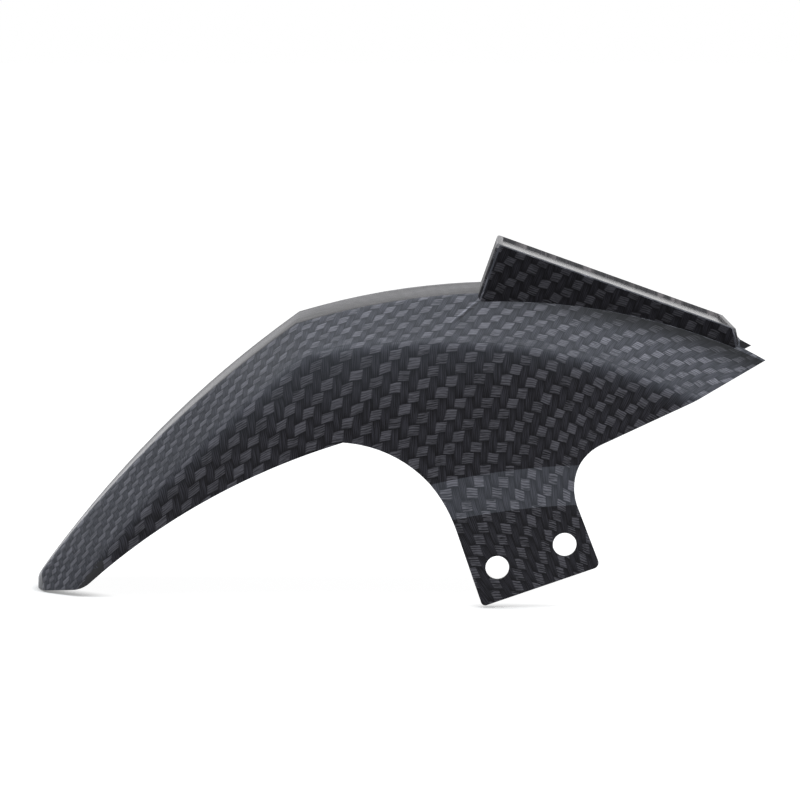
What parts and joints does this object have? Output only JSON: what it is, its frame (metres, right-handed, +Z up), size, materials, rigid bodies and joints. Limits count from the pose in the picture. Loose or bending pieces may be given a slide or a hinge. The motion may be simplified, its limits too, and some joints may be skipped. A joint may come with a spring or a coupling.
{
  "type": "motorcycle rear fender",
  "caption": "Arched rear fender for a motorcycle, moulded in one piece, with a tapering tail, a raised box with a shallow tray on its nose and a stepped side leg with bolt holes.",
  "frame": {"origin": "middle of the bolt holes of the leg, on the leg's seating face", "axes": "+X to the nose, +Y from the leg across to the far side, +Z up"},
  "size_m": [0.3135, 0.1238, 0.1517],
  "materials": {
    "shell": "satin, black and grey woven carbon look"
  },
  "bodies": {
    "root": {"rear_fender": "shell"}
  },
  "joints": []
}
